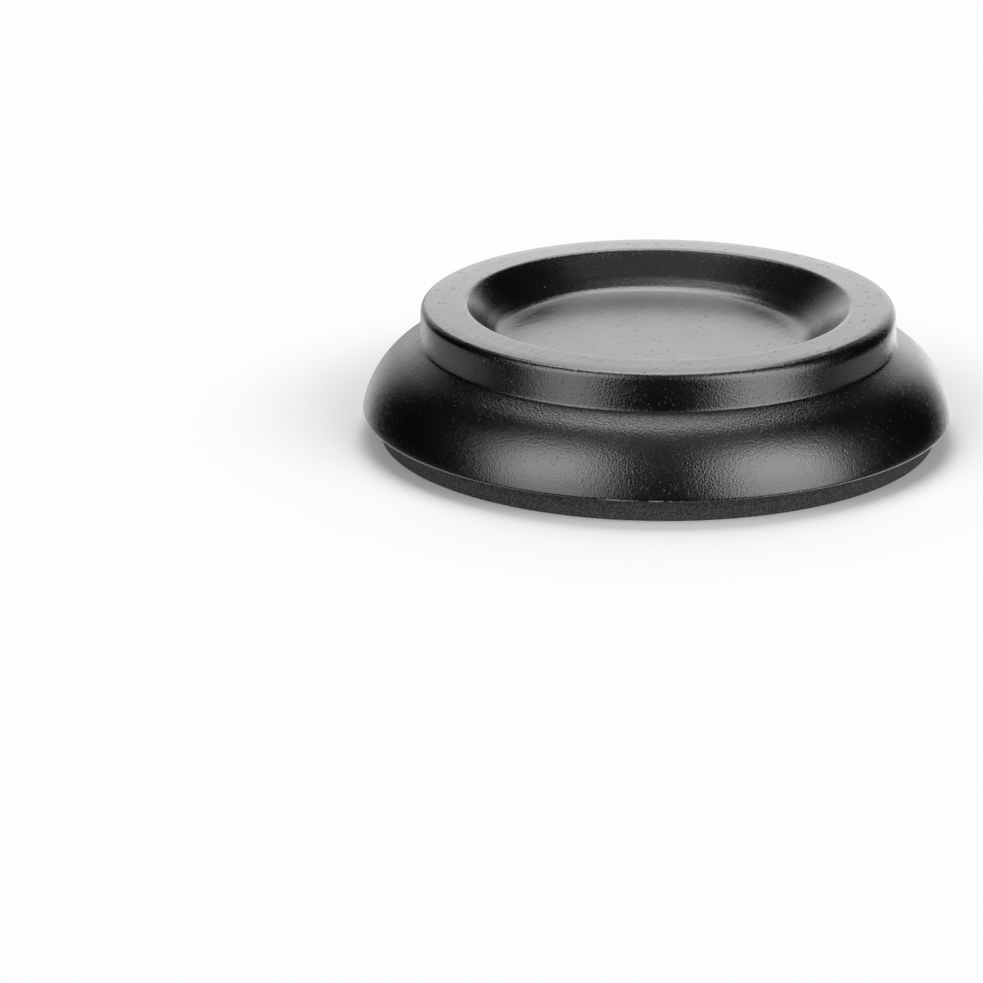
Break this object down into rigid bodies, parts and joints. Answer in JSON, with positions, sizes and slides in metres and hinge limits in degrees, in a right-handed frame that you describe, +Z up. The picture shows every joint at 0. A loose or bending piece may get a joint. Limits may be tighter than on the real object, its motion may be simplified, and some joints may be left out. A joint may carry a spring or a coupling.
{
  "type": "castor cup",
  "caption": "Round turned wooden castor cup, black satin lacquer, with a shallow dished recess that holds a furniture wheel and a foam pad underneath that protects the floor.",
  "frame": {"origin": "centre of the foam pad's underside, the face that stands on the floor", "axes": "+Z up along the axis the cup is turned about, out of the recess; X and Y are free because the cup is round"},
  "size_m": [0.096, 0.096, 0.022],
  "materials": {
    "lacquered_wood": "black satin lacquer over open-grained hardwood",
    "eva_foam": "matt black closed-cell foam with a die-cut edge"
  },
  "bodies": {
    "root": {"wooden_cup": "lacquered_wood", "foam_pad": "eva_foam"}
  },
  "joints": []
}
